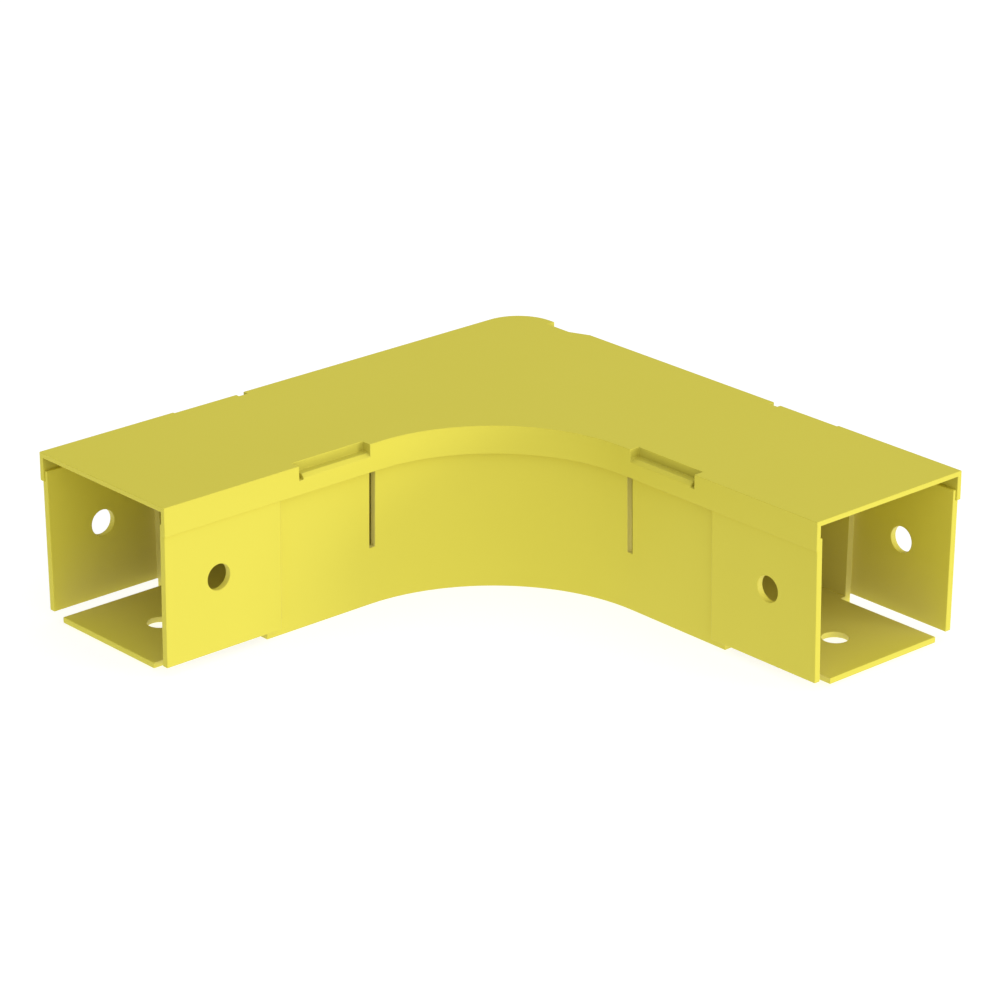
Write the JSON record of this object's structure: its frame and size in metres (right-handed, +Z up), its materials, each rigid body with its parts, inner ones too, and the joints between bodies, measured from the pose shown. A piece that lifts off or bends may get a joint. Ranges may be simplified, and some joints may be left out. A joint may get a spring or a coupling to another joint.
{
  "type": "fibre raceway fitting",
  "caption": "Horizontal right-angle fitting for a square fibre raceway: a moulded trough with a wide inner bend and duct tongues at both mouths, closed by a snap-fit cover.",
  "frame": {"origin": "where the centre lines of the two arms cross, on the underside of the trough", "axes": "+Z up from the underside to the cover, one arm runs along -X and the other along -Y"},
  "size_m": [0.1775, 0.1775, 0.0495],
  "materials": {
    "trough_plastic": "satin moulded ABS, raceway yellow",
    "cover_plastic": "satin moulded ABS, raceway yellow"
  },
  "bodies": {
    "root": {"elbow_trough": "trough_plastic", "snap_cover": "cover_plastic"}
  },
  "joints": []
}
